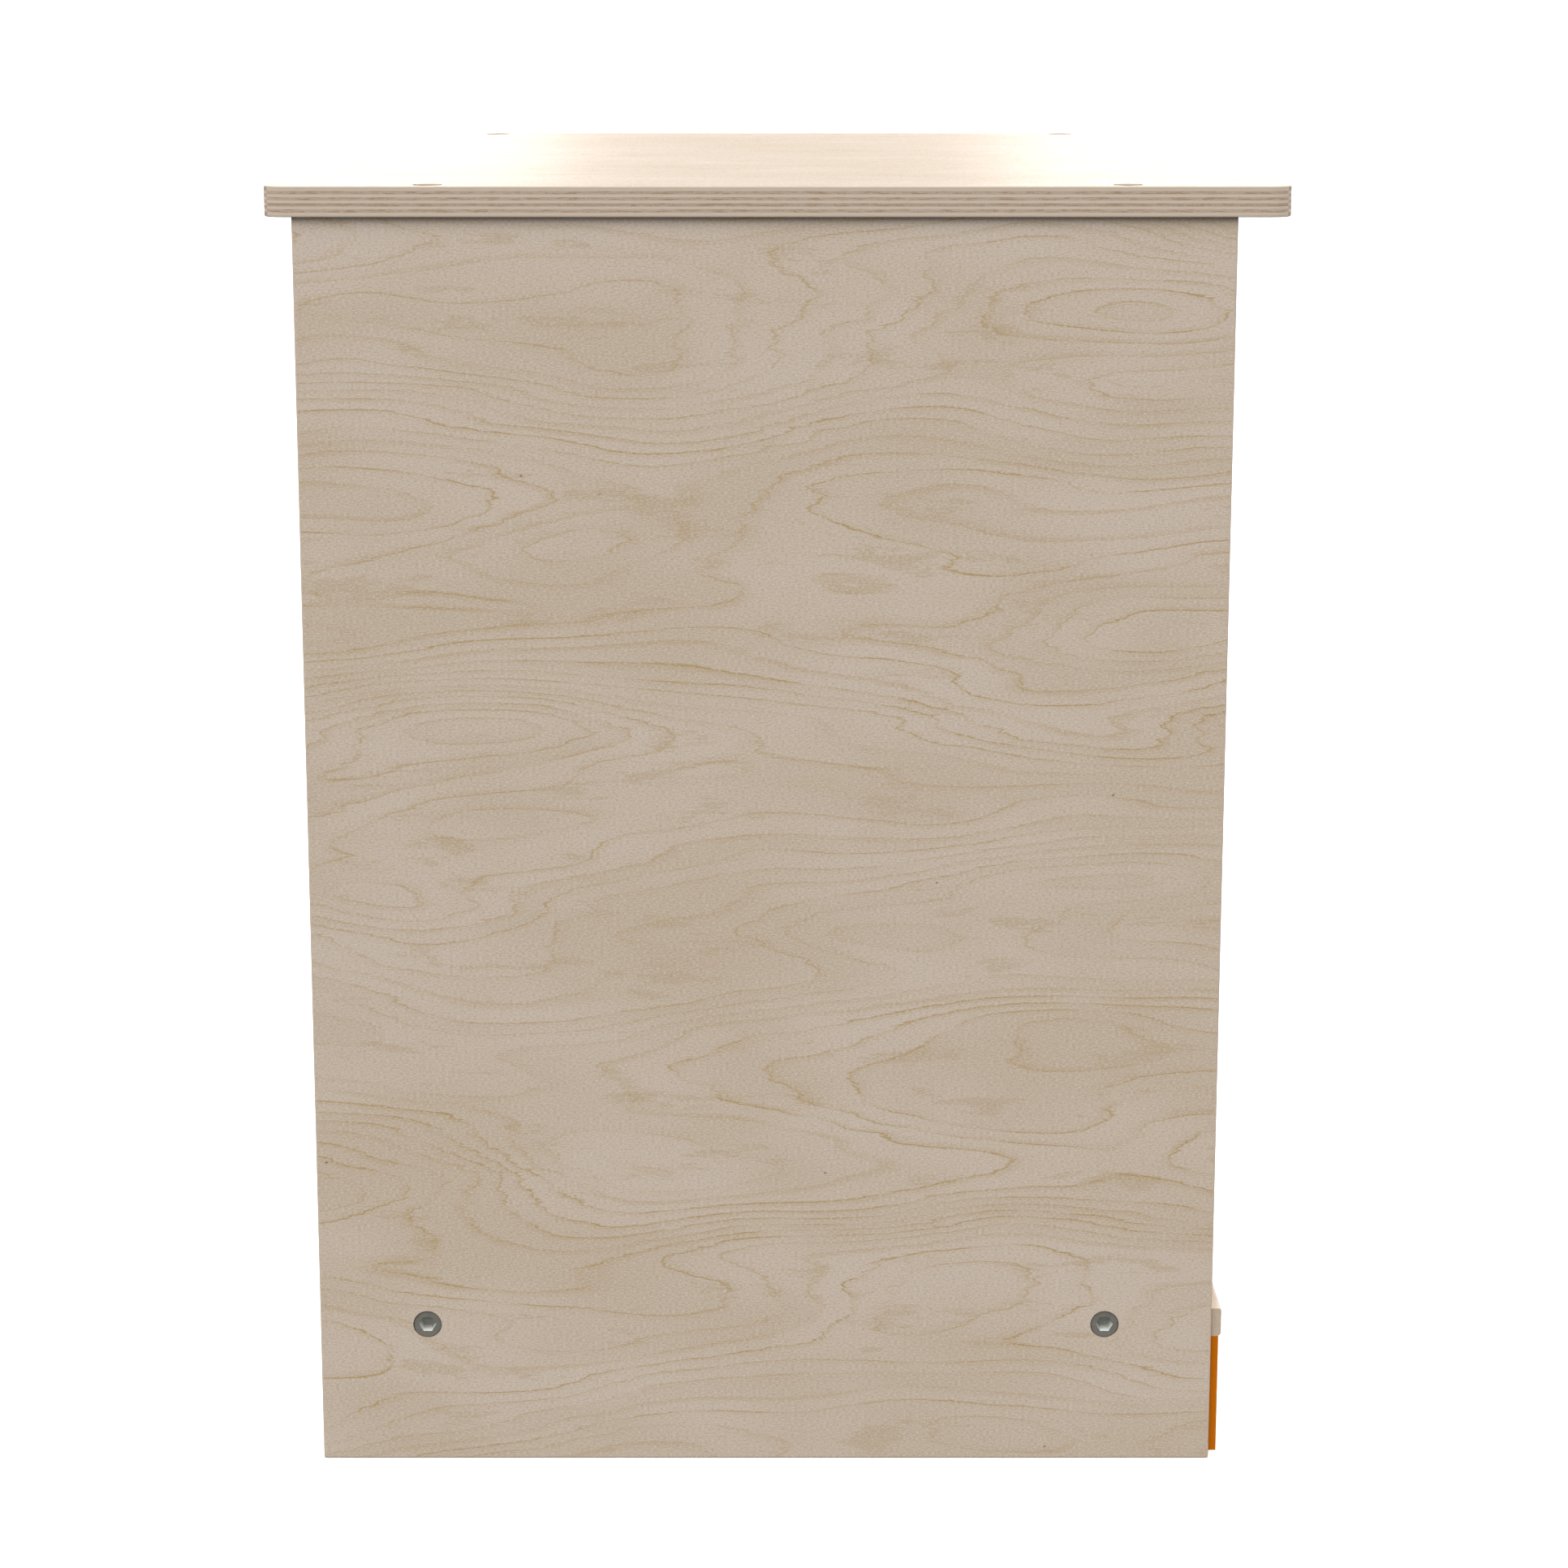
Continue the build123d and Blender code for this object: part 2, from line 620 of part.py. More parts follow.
def flap_bracket(side):
    near = side * x_bracket
    ear = block(near, side * (x_bracket + bracket_sheet), y_face_back, y_rod + bracket_ear_reach,
                z_rod - bracket_ear_reach, z_rod + bracket_ear_reach)
    ear = fillet(ear.edges().filter_by(Axis.X).group_by(Axis.Y)[-1], bracket_ear_round)
    foot = block(near, side * (x_bracket + bracket_foot_width), y_face_back, y_face_back + bracket_sheet,
                 z_rod - bracket_foot_height / 2, z_rod + bracket_foot_height / 2)
    far_edges = foot.edges().filter_by(Axis.Y).group_by(Axis.X)[-1 if side == RIGHT else 0]
    foot = fillet(far_edges, bracket_foot_round)
    tools = [screw_hole(point, (0, -1, 0), short_screw) for point in bracket_screw_points(side)]
    start = (side * (x_bracket - overshoot), y_rod, z_rod)
    length = bracket_sheet + 2 * overshoot
    tools.append(round_bar(start, (side, 0, 0), length, flap_rod_radius + bracket_hole_play))
    return cut_all(ear + foot, tools)


def flap_buffer(side):
    x = side * (slot_width / 2 - flap_buffer_inset)
    z = z_slot_low - flap_overlap / 2
    pad = Cylinder(flap_buffer_radius, flap_buffer_thickness, align=BASE)
    pad = fillet(pad.edges().sort_by(Axis.Z)[-1], flap_buffer_round)
    return facing((x, y_face_back, z), (0, 1, 0)) * pad


# ---- Chute ------------------------------------------------------------------------------------------
def chute_board():
    ramp = chute_plane() * block(-x_chute, x_chute, -board, chute_length, -board, 0)
    ramp -= block(-x_inner, x_inner, y_face_back - 3 * board, y_face_back + chute_gap,
                  z_chute - 3 * board, z_chute + 3 * board)
    end_edges = ramp.edges().filter_by(Axis.X).group_by(Axis.Y)[-1]
    ramp = fillet(end_edges, chute_end_round)
    points = chute_screw_points(LEFT) + chute_screw_points(RIGHT)
    return cut_all(ramp, [screw_hole(point, chute_down(), chute_screw_length) for point in points])


def chute_down():
    """The direction square to the chute, into its cleats."""
    slope = radians(chute_slope)
    return (0, -sin(slope), -cos(slope))


def chute_cleat(side):
    low = side * (x_inner - cleat_size)
    cleat = block(low, side * x_inner, cleat_start, cleat_end, -board - cleat_size, -board)
    cleat = chute_plane() * fillet(cleat.edges().filter_by(Axis.Y).group_by(Axis.Z)[0], edge_round)
    tools = [screw_hole(point, chute_down(), chute_screw_length) for point in chute_screw_points(side)]
    tools += [screw_hole(point, (side, 0, 0), cleat_screw_length) for point in cleat_screw_points(side)]
    return cut_all(cleat, tools)


# ---- Door -------------------------------------------------------------------------------------------
def pivot_plate_block(z, into):
    """A pivot plate's outline, let into a board whose face at height z looks up (1) or down (-1)."""
    return block(x_pivot - pivot_plate_end, x_pivot - pivot_plate_end + pivot_plate_length,
                 y_face_middle - pivot_plate_width / 2, y_face_middle + pivot_plate_width / 2,
                 z, z - into * pivot_plate_thickness)


def pivot_plate_recess(z, into):
    """The recess for a pivot plate, with play all round and open at the board's face."""
    play = pivot_plate_play
    return block(x_pivot - pivot_plate_end - play, x_pivot - pivot_plate_end + pivot_plate_length + play,
                 y_face_middle - pivot_plate_width / 2 - play, y_face_middle + pivot_plate_width / 2 + play,
                 z + into, z - into * pivot_plate_thickness)


def pivot_hole(z, direction, radius):
    """A pin's hole, from a board's face."""
    return round_bar((x_pivot, y_face_middle, z), (0, 0, direction), pivot_depth + overshoot, radius)


def frame_pivot_plate(z, into):
    """The fixed plate that holds a pivot pin."""
    plate = pivot_plate_block(z, into)
    plate = fillet(plate.edges().filter_by(Axis.Z), pivot_plate_round)
    plate -= pivot_hole(z, -into, pivot_radius + pivot_press_play)
    return cut_all(plate, [screw_hole(point, (0, 0, -into), short_screw) for point in pivot_screw_points(z)])


def door_pivot_plate(z, into):
    """The door's plate that turns on a pivot pin."""
    plate = pivot_plate_block(z, into)
    plate = fillet(plate.edges().filter_by(Axis.Z), pivot_plate_round)
    plate -= pivot_hole(z, -into, pivot_radius + pivot_play)
    return cut_all(plate, [screw_hole(point, (0, 0, -into), short_screw) for point in pivot_screw_points(z)])


def pivot_pin(z_low, z_high):
    """A steel pin from one board, across the gap, into the other."""
    low = z_low - pivot_depth
    pin = Cylinder(pivot_radius, z_high - z_low + 2 * pivot_depth, align=BASE)
    return Pos(x_pivot, y_face_middle, low) * chamfer(pin.edges(), pivot_pin_chamfer)


def pivot_washer():
    """The nylon washer that carries the door on the lower plate."""
    height = door_end_gap - washer_gap
    ring = Cylinder(washer_radius, height, align=BASE)
    ring -= Cylinder(pivot_radius + washer_bore_play, 3 * height)
    return Pos(x_pivot, y_face_middle, z_shelf_top) * ring


def access_door():
    panel = block(-x_door, x_door, y_face, y_face_back, z_door_low, z_door_top)
    uprights = panel.edges().filter_by(Axis.Z)
    nose = uprights.group_by(Axis.X)[0].sort_by(Axis.Y)[0]
    panel = fillet(nose, board / 2 - door_nose_flat)
    flat_rim = [edge for edge in panel.faces().sort_by(Axis.Y)[0].edges() if edge.center().X > board - x_door]
    panel = fillet(flat_rim, edge_round)
    through = board + 2 * overshoot
    lock_start = (x_lock, y_face - overshoot, z_lock)
    panel -= round_bar(lock_start, (0, 1, 0), through, lock_barrel_radius + lock_barrel_play)
    finger_start = (x_lock, y_face - overshoot, z_lock + finger_hole_rise)
    panel -= round_bar(finger_start, (0, 1, 0), through, finger_hole_radius)
    rings = [edge for edge in panel.edges().filter_by(GeomType.CIRCLE)
             if abs(edge.center().Z - finger_start[2]) < overshoot and edge.center().X > 0]
    panel = fillet(rings, finger_hole_round)
    tools = [pivot_plate_recess(z_door_low, -1), pivot_plate_recess(z_door_top, 1)]
    tools.append(pivot_hole(z_door_low, 1, pivot_radius + pivot_hole_play))
    tools.append(pivot_hole(z_door_top, -1, pivot_radius + pivot_hole_play))
    tools += [screw_hole(point, (0, 0, 1), short_screw) for point in pivot_screw_points(z_door_low)]
    tools += [screw_hole(point, (0, 0, -1), short_screw) for point in pivot_screw_points(z_door_top)]
    return cut_all(panel, tools)


def door_stop():
    """The batten that the closed door rests on, and that the cam turns behind."""
    batten = block(x_inner - stop_width, x_inner, y_stop, y_stop_back,
                   z_door_low + stop_end_gap, z_door_top - stop_end_gap)
    batten = fillet(batten.edges().filter_by(Axis.Z).group_by(Axis.X)[0], edge_round)
    return cut_all(batten, [screw_hole(point, (1, 0, 0), stop_screw_length) for point in stop_screw_points()])


def door_buffer(z):
    pad = Cylinder(door_buffer_radius, door_buffer_thickness, align=BASE)
    pad = fillet(pad.edges().sort_by(Axis.Z)[-1], door_buffer_round)
    return facing((x_inner - stop_width / 2, y_stop, z), (0, -1, 0)) * pad


# ---- Cam lock -----------------------------------------------------------------------------------------
def lock_barrel():
    flange_front = (x_lock, y_face - lock_flange_thickness, z_lock)
    flange = Cylinder(lock_flange_radius, lock_flange_thickness, align=BASE)
    flange = fillet(flange.edges().sort_by(Axis.Z)[0], lock_flange_round)
    barrel = Cylinder(lock_barrel_radius, y_cam - plug_shoulder_gap - flange_front[1], align=BASE)
    bore = Cylinder(lock_plug_radius + lock_plug_play, 6 * board)
    return facing(flange_front, (0, 1, 0)) * (flange + barrel - bore)


def lock_nut():
    nut = hex_bar((x_lock, y_face_back, z_lock), (0, 1, 0), lock_nut_thickness, lock_nut_across_flats)
    start = (x_lock, y_face_back - overshoot, z_lock)
    length = lock_nut_thickness + 2 * overshoot
    return nut - round_bar(start, (0, 1, 0), length, lock_barrel_radius + lock_nut_play)


def lock_plug():
    front = y_face - lock_flange_thickness + lock_plug_recess
    plug = round_bar((x_lock, front, z_lock), (0, 1, 0), y_cam - front, lock_plug_radius)
    plug = fillet(plug.edges().sort_by(Axis.Y)[0], lock_plug_round)
    half = cam_square / 2
    plug += block(x_lock - half, x_lock + half, y_cam, y_cam + cam_thickness, z_lock - half, z_lock + half)
    plug -= block(x_lock - keyway_width / 2, x_lock + keyway_width / 2, front - overshoot,
                  front + keyway_depth, z_lock - keyway_height / 2, z_lock + keyway_height / 2)
    start = (x_lock, y_cam + cam_thickness + overshoot, z_lock)
    depth = cam_screw_bite + overshoot + cam_screw_hole_play
    return plug - round_bar(start, (0, -1, 0), depth, cam_screw_radius + cam_screw_hole_play)


def lock_cam():
    """The flat cam, hanging down at rest, when the door is unlocked."""
    round_end = round_bar((x_lock, y_cam, z_lock), (0, 1, 0), cam_thickness, cam_width / 2)
    y_back_face = y_cam + cam_thickness
    reach = cam_width / 2
    arm = block(x_lock - reach, x_lock + reach, y_cam, y_back_face, z_lock - cam_length, z_lock)
    arm = fillet(arm.edges().filter_by(Axis.Y).group_by(Axis.Z)[0], cam_tip_round)
    half = cam_square / 2 + cam_square_play
    hole = block(x_lock - half, x_lock + half, y_cam - overshoot, y_back_face + overshoot,
                 z_lock - half, z_lock + half)
    return round_end + arm - hole


def lock_cam_screw():
    head = Cylinder(cam_screw_head_radius, cam_screw_head_height, align=BASE)
    head = fillet(head.edges().sort_by(Axis.Z)[0], cam_screw_head_round)
    shank = Cylinder(cam_screw_radius, cam_screw_head_height + cam_screw_bite, align=BASE)
    recess = Box(screw_recess_length, screw_recess_width, 2 * screw_recess_depth)
    recess += Box(screw_recess_width, screw_recess_length, 2 * screw_recess_depth)
    point = (x_lock, y_cam + cam_thickness + cam_screw_head_height, z_lock)
    return facing(point, (0, -1, 0)) * (head + shank - recess)


# ---- Groups of like fasteners ---------------------------------------------------------------------------
def shelf_bolts(side):
    """One side's two bolts, through the side panel into the shelf."""
    recess = Vector(-side * side_head_recess, 0, 0)
    points = [tuple(Vector(*point) + recess) for point in shelf_bolt_points(side)]
    under_head = board - side_head_recess - bolt_head_height
    return [connector_bolt(point, (-side, 0, 0), under_head) for point in points]


def top_bolts():
    recess = Vector(0, 0, -top_head_recess)
    points = top_bolt_points(LEFT) + top_bolt_points(RIGHT)
    points = [tuple(Vector(*point) + recess) for point in points]
    under_head = board - top_head_recess - bolt_head_height
    return [connector_bolt(point, (0, 0, -1), under_head) for point in points]


def both_sides(make):
    """A list of pieces made for the left side, then the right."""
    return make(LEFT) + make(RIGHT)


def shelf_nuts(side):
    return [barrel_nut(mouth, (0, 0, 1), (-side, 0, 0)) for mouth in shelf_nut_mouths(side)]


def top_nuts(side):
    return [barrel_nut(mouth, (side, 0, 0), (0, 0, -1)) for mouth in top_nut_mouths(side)]


def side_dowels(name):
    """Both sides' dowels into one board's ends."""
    return [dowel(point, (-side, 0, 0)) for side in (LEFT, RIGHT) for point in side_dowel_joints(side)[name]]


def screws(points, direction, length):
    return [wood_screw(point, direction, length) for point in points]


def parts():
    """Every node's name and its solid or list of solids."""
    model = {}
    model["side_panel_left"] = side_panel(LEFT)
    model["side_panel_right"] = side_panel(RIGHT)
    model["top_panel"] = top_panel()
    model["bottom_shelf"] = bottom_shelf()
    model["shelf_lipping"] = shelf_lipping()
    model["plinth_rail"] = plinth_rail()
    model["kick_board"] = kick_board()
    model["back_panel"] = back_panel()
    model["front_fascia"] = front_fascia()

    model["top_bolts"] = top_bolts()
    model["top_barrel_nuts"] = both_sides(top_nuts)
    model["shelf_bolts_left"] = shelf_bolts(LEFT)
    model["shelf_bolts_right"] = shelf_bolts(RIGHT)
    model["shelf_barrel_nuts"] = both_sides(shelf_nuts)
    model["top_dowels"] = [dowel(point, (0, 0, -1)) for point in top_dowel_points()]
    model["shelf_dowels"] = side_dowels("shelf")
    model["rail_dowels"] = side_dowels("rail")
    model["fascia_dowels"] = side_dowels("fascia")
    model["kick_board_screws"] = screws(kick_screw_points(), (0, -1, 0), kick_screw_length)

    model["drop_flap"] = drop_flap()
    model["flap_rod"] = flap_rod()
    model["flap_rod_clips"] = [rod_clip(LEFT), rod_clip(RIGHT)]
    model["flap_bracket_left"] = flap_bracket(LEFT)
    model["flap_bracket_right"] = flap_bracket(RIGHT)
    bracket_points = bracket_screw_points(LEFT) + bracket_screw_points(RIGHT)
    model["flap_bracket_screws"] = screws(bracket_points, (0, -1, 0), short_screw)
    model["flap_buffers"] = [flap_buffer(LEFT), flap_buffer(RIGHT)]

    model["chute_board"] = chute_board()
    model["chute_cleat_left"] = chute_cleat(LEFT)
    model["chute_cleat_right"] = chute_cleat(RIGHT)
    chute_points = chute_screw_points(LEFT) + chute_screw_points(RIGHT)
    model["chute_screws"] = screws(chute_points, chute_down(), chute_screw_length)
    model["cleat_screws"] = [wood_screw(point, (side, 0, 0), cleat_screw_length)
                             for side in (LEFT, RIGHT) for point in cleat_screw_points(side)]

    model["access_door"] = access_door()
    model["frame_pivot_plate_lower"] = frame_pivot_plate(z_shelf_top, 1)
    model["frame_pivot_plate_upper"] = frame_pivot_plate(z_fascia_low, -1)
    model["door_pivot_plate_lower"] = door_pivot_plate(z_door_low, -1)
    model["door_pivot_plate_upper"] = door_pivot_plate(z_door_top, 1)
    model["pivot_pin_lower"] = pivot_pin(z_shelf_top, z_door_low)
    model["pivot_pin_upper"] = pivot_pin(z_door_top, z_fascia_low)
    model["pivot_washer"] = pivot_washer()
    frame_screws = screws(pivot_screw_points(z_shelf_top), (0, 0, -1), short_screw)
    frame_screws += screws(pivot_screw_points(z_fascia_low), (0, 0, 1), short_screw)
    model["frame_pivot_screws"] = frame_screws
    door_screws = screws(pivot_screw_points(z_door_low), (0, 0, 1), short_screw)
    door_screws += screws(pivot_screw_points(z_door_top), (0, 0, -1), short_screw)
    model["door_pivot_screws"] = door_screws
    model["door_stop"] = door_stop()
    model["door_stop_screws"] = screws(stop_screw_points(), (1, 0, 0), stop_screw_length)
    buffer_low = z_door_low + stop_end_gap + door_buffer_inset
    buffer_high = z_door_top - stop_end_gap - door_buffer_inset
    model["door_buffers"] = [door_buffer(buffer_low), door_buffer(buffer_high)]

    model["lock_barrel"] = lock_barrel()
    model["lock_nut"] = lock_nut()
    model["lock_plug"] = lock_plug()
    model["lock_cam"] = lock_cam()
    model["lock_cam_screw"] = lock_cam_screw()
    return model


def write(name, made):
    """One STEP file for one node; a list of pieces becomes one group of separate solids."""
    pieces = made if isinstance(made, list) else [made]
    solids = [solid for piece in pieces for solid in piece.solids()]
    shape = solids[0] if len(solids) == 1 else Compound(children=solids)
    export_step(shape, os.path.join("parts", name + ".step"))


os.makedirs("parts", exist_ok=True)
for node_name, node_shape in parts().items():
    write(node_name, node_shape)
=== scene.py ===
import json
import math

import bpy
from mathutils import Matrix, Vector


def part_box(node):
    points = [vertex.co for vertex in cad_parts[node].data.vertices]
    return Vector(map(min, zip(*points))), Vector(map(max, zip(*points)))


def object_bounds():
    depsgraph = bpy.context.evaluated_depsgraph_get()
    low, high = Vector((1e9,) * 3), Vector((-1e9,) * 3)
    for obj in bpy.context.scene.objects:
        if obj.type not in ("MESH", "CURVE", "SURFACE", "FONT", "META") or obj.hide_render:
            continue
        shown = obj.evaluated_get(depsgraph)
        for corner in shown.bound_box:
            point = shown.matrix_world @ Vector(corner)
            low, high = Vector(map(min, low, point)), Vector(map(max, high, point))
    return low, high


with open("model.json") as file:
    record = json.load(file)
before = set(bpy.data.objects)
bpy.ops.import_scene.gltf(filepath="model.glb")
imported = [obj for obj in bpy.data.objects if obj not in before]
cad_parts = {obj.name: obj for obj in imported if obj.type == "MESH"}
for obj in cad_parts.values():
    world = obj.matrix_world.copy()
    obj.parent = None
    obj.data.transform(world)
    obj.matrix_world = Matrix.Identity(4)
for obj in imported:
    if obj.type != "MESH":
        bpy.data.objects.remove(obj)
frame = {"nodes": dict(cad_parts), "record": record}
cad_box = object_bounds()

# The looks of a plywood book drop box: materials for its CAD parts, a pale studio and the camera.
# Lengths are in metres, unless a docstring says millimetres. Every material is worked out in the
# part's own rest frame.

MM = 0.001
X, Y, Z = (1, 0, 0), (0, 1, 0), (0, 0, 1)

# ------------------------------------------------------------------ colours, as linear light
BIRCH = (0.598, 0.483, 0.372)
BIRCH_PALE = (0.650, 0.545, 0.452)
BIRCH_TAN = (0.535, 0.415, 0.275)
BIRCH_LINE = (0.470, 0.320, 0.125)
BIRCH_SHADE = (0.430, 0.325, 0.250)
BIRCH_BRIGHT = (0.755, 0.670, 0.550)
BIRCH_END_GRAIN = (0.545, 0.430, 0.330)
END_STREAK = (0.360, 0.235, 0.130)
GLUE = (0.330, 0.235, 0.160)
PORE = (0.215, 0.150, 0.095)
BEECH = (0.560, 0.385, 0.245)
BEECH_DARK = (0.400, 0.245, 0.140)
BEECH_FLECK = (0.240, 0.120, 0.060)
ORANGE = (0.570, 0.150, 0.0012)
ORANGE_DEEP = (0.500, 0.125, 0.0010)
ORANGE_WORN = (0.640, 0.235, 0.020)
BOLT_GREY = (0.205, 0.199, 0.172)
BOLT_DARK = (0.175, 0.170, 0.147)
# Painted highlight for the bolts' socket walls, where light would fall; not a colour of the metal.
SOCKET_HIGHLIGHT = (0.860, 0.865, 0.830)
ZINC = (0.560, 0.570, 0.585)
ZINC_DARK = (0.430, 0.435, 0.440)
NICKEL = (0.640, 0.620, 0.590)
NICKEL_DARK = (0.540, 0.520, 0.490)
RUBBER = (0.018, 0.018, 0.018)
RUBBER_WORN = (0.030, 0.030, 0.030)
NYLON = (0.720, 0.700, 0.640)
NYLON_DARK = (0.650, 0.625, 0.560)
FLOOR_PALE = (0.930, 0.930, 0.930)
FLOOR_DIM = (0.900, 0.900, 0.900)

# ------------------------------------------------------------------ growth lines on a veneer
LINE_PITCH = 20 * MM        # between growth lines where nothing bends them
BROAD_BEND = 21.0           # the broad noise's share of the height, in lines
LOCAL_BEND = 2.2            # the small noise's share of it
RAGGED_SHIFT = 34 * MM      # how far raggedness moves a line along the grain
JAG = 1.0 * MM              # how far apart fine jags set a line's edge
LINE_CORE = 0.3 * MM        # on its sharp side, a line is full up to here
LINE_EDGE = 1.2 * MM        # and gone here
LINE_FADE = 3.5 * MM        # its soft side is gone here
STEP_ALONG = 5 * MM         # the height's slope is read over these steps
STEP_ACROSS = 0.8 * MM
CALM, STEEP = 25.0, 80.0    # lines per metre: under the first the grain turns, over the second it runs

# ------------------------------------------------------------------ plywood
MEAN_PLY = 2.0 * MM         # a board's thickness over its number of plies
OUTER_PLY = 1.64            # thickness of the two outer plies, in inner plies
FACE_SKIN = 0.05 * MM       # deeper than this, a board's surface is an edge
SEAM_CORE = 0.02 * MM       # a glue line is full up to here
SEAM_EDGE = 0.14 * MM       # and gone here
SEAM_WOBBLE = 0.12 * MM
SEED_ALONG, SEED_ACROSS = 1.37, 0.61    # a board's pattern is moved this far for each unit of its seed
FAR_FACE_SEED = 4.3                     # sets a board's two faces apart
BEECH_SEED_ALONG = 0.77

# ------------------------------------------------------------------ bolts, with a painted highlight in their sockets, and painted edges
SOCKET_MOUTH = (0.05 * MM, 0.3 * MM)    # the painted highlight begins between these depths
SOCKET_FLOOR = (12.0 * MM, 11.6 * MM)   # and ends between these, past the socket's floor
SOCKET_SIDE = (5.45 * MM, 5.6 * MM)     # it ends between these radii, past the socket's corners
SOCKET_FLOOR_SHADE = 0.66                # share of the painted highlight that the socket's floor loses to painted shade
RUBBED_REACH = 1.6 * MM                 # how far rubbing reaches from a painted board's edges

# ------------------------------------------------------------------ which way each piece lies
CHUTE_SLOPE = math.radians(30)
DOWN_CHUTE = (0, math.cos(CHUTE_SLOPE), -math.sin(CHUTE_SLOPE))
# Known fault: this isn't square to the chute board, which needs (0, sin, cos), so that board's
# faces show bands of plies in place of veneer.
CHUTE_THICKNESS = (0, -math.sin(CHUTE_SLOPE), math.cos(CHUTE_SLOPE))
BOARDS = {                  # thickness way, grain way and seed
    "side_panel_left": (X, Y, 1.0),
    "side_panel_right": (X, Y, 2.0),
    "top_panel": (Z, Y, 3.0),
    "bottom_shelf": (Z, X, 4.0),
    "plinth_rail": (Y, X, 5.0),
    "back_panel": (Y, X, 6.0),
    "front_fascia": (Y, X, 7.0),
    "chute_board": (CHUTE_THICKNESS, X, 8.0),
}
BEECH_GRAIN = {             # the other beech pieces have theirs along X
    "top_dowels": Z,
    "door_stop": Z,
    "chute_cleat_left": DOWN_CHUTE,
    "chute_cleat_right": DOWN_CHUTE,
}


class Graph:
    """One material's node tree. Each call takes sockets or plain numbers and gives back a socket."""

    def __init__(self, name):
        self.material = bpy.data.materials.new(name)
        self.material.use_nodes = True
        self.tree = self.material.node_tree
        self.nodes = self.tree.nodes
        self.shader = self.nodes["Principled BSDF"]
        place = self.nodes.new("ShaderNodeTexCoord")
        self.position = place.outputs["Object"]
        self.normal = place.outputs["Normal"]

    def put(self, value, socket):
        if isinstance(value, bpy.types.NodeSocket):
            self.tree.links.new(value, socket)
        else:
            socket.default_value = value

    def math(self, operation, *values):
        node = self.nodes.new("ShaderNodeMath")
        node.operation = operation
        for value, socket in zip(values, node.inputs):
            self.put(value, socket)
        return node.outputs[0]

    def add(self, a, b):
        return self.math("ADD", a, b)

    def sub(self, a, b):
        return self.math("SUBTRACT", a, b)

    def mul(self, a, b):
        return self.math("MULTIPLY", a, b)

    def dot(self, vector, way):
        node = self.nodes.new("ShaderNodeVectorMath")
        node.operation = "DOT_PRODUCT"
        self.put(vector, node.inputs[0])
        node.inputs[1].default_value = way
        return node.outputs["Value"]

    def faces(self, way, least):
        """1 where the surface looks along a way, either up or down it, and 0 elsewhere."""
        return self.math("GREATER_THAN", self.math("ABSOLUTE", self.dot(self.normal, way)), least)

    def vector(self, x, y, z):
        node = self.nodes.new("ShaderNodeCombineXYZ")
        for value, socket in zip((x, y, z), node.inputs):
            self.put(value, socket)
        return node.outputs[0]

    def stretched(self, places, sizes, *others):
        """Places, each over a feature size in millimetres, and other numbers as they are: 3 in all."""
        ratios = [self.mul(place, 1 / (size * MM)) for place, size in zip(places, sizes)]
        return self.vector(*ratios, *others)

    def scaled(self, *sizes):
        """The position over feature sizes in millimetres: one for every axis, or three."""
        node = self.nodes.new("ShaderNodeMapping")
        self.put(self.position, node.inputs["Vector"])
        node.inputs["Scale"].default_value = [1 / (size * MM) for size in sizes] * (3 // len(sizes))
        return node.outputs[0]

    def noise(self, vector, detail=2.0, roughness=0.5):
        node = self.nodes.new("ShaderNodeTexNoise")
        self.put(vector, node.inputs["Vector"])
        node.inputs["Scale"].default_value = 1.0
        node.inputs["Detail"].default_value = detail
        node.inputs["Roughness"].default_value = roughness
        return node.outputs["Fac"]

    def cells(self, vector):
        """Scattered points: the distance to the nearest one, and a random colour for each."""
        node = self.nodes.new("ShaderNodeTexVoronoi")
        self.put(vector, node.inputs["Vector"])
        node.inputs["Scale"].default_value = 1.0
        return node.outputs["Distance"], node.outputs["Color"]

    def random(self, value, seed):
        node = self.nodes.new("ShaderNodeTexWhiteNoise")
        node.noise_dimensions = "2D"
        self.put(self.vector(value, seed, 0.0), node.inputs["Vector"])
        return node.outputs["Value"]

    def ramp(self, value, low, high, to_low=0.0, to_high=1.0, smooth=True):
        """Carries low..high over to to_low..to_high, and stays level outside."""
        node = self.nodes.new("ShaderNodeMapRange")
        node.interpolation_type = "SMOOTHSTEP" if smooth else "LINEAR"
        self.put(value, node.inputs["Value"])
        node.inputs["From Min"].default_value = low
        node.inputs["From Max"].default_value = high
        node.inputs["To Min"].default_value = to_low
        node.inputs["To Max"].default_value = to_high
        return node.outputs[0]

    def mix(self, factor, a, b):
        """Colour a where the factor is 0, colour b where it is 1."""
        node = self.nodes.new("ShaderNodeMix")
        node.data_type = "RGBA"
        self.put(factor, node.inputs["Factor"])
        for value, name in ((a, "A_Color"), (b, "B_Color")):
            socket = next(s for s in node.inputs if s.identifier == name)
            self.put(value if isinstance(value, bpy.types.NodeSocket) else (*value, 1.0), socket)
        return next(s for s in node.outputs if s.identifier == "Result_Color")

    def bump(self, height, depth, strength=0.5):
        node = self.nodes.new("ShaderNodeBump")
        node.inputs["Strength"].default_value = strength
        node.inputs["Distance"].default_value = depth
        self.put(height, node.inputs["Height"])
        self.put(node.outputs[0], self.shader.inputs["Normal"])

    def finish(self, color, roughness, metallic=0.0, specular=0.5):
        """Sets the shader: base colour and roughness are worked out, the rest are numbers."""
        self.put(color, self.shader.inputs["Base Color"])
        self.put(roughness, self.shader.inputs["Roughness"])
        self.shader.inputs["Metallic"].default_value = metallic
        self.shader.inputs["Specular IOR Level"].default_value = specular
        return self.material


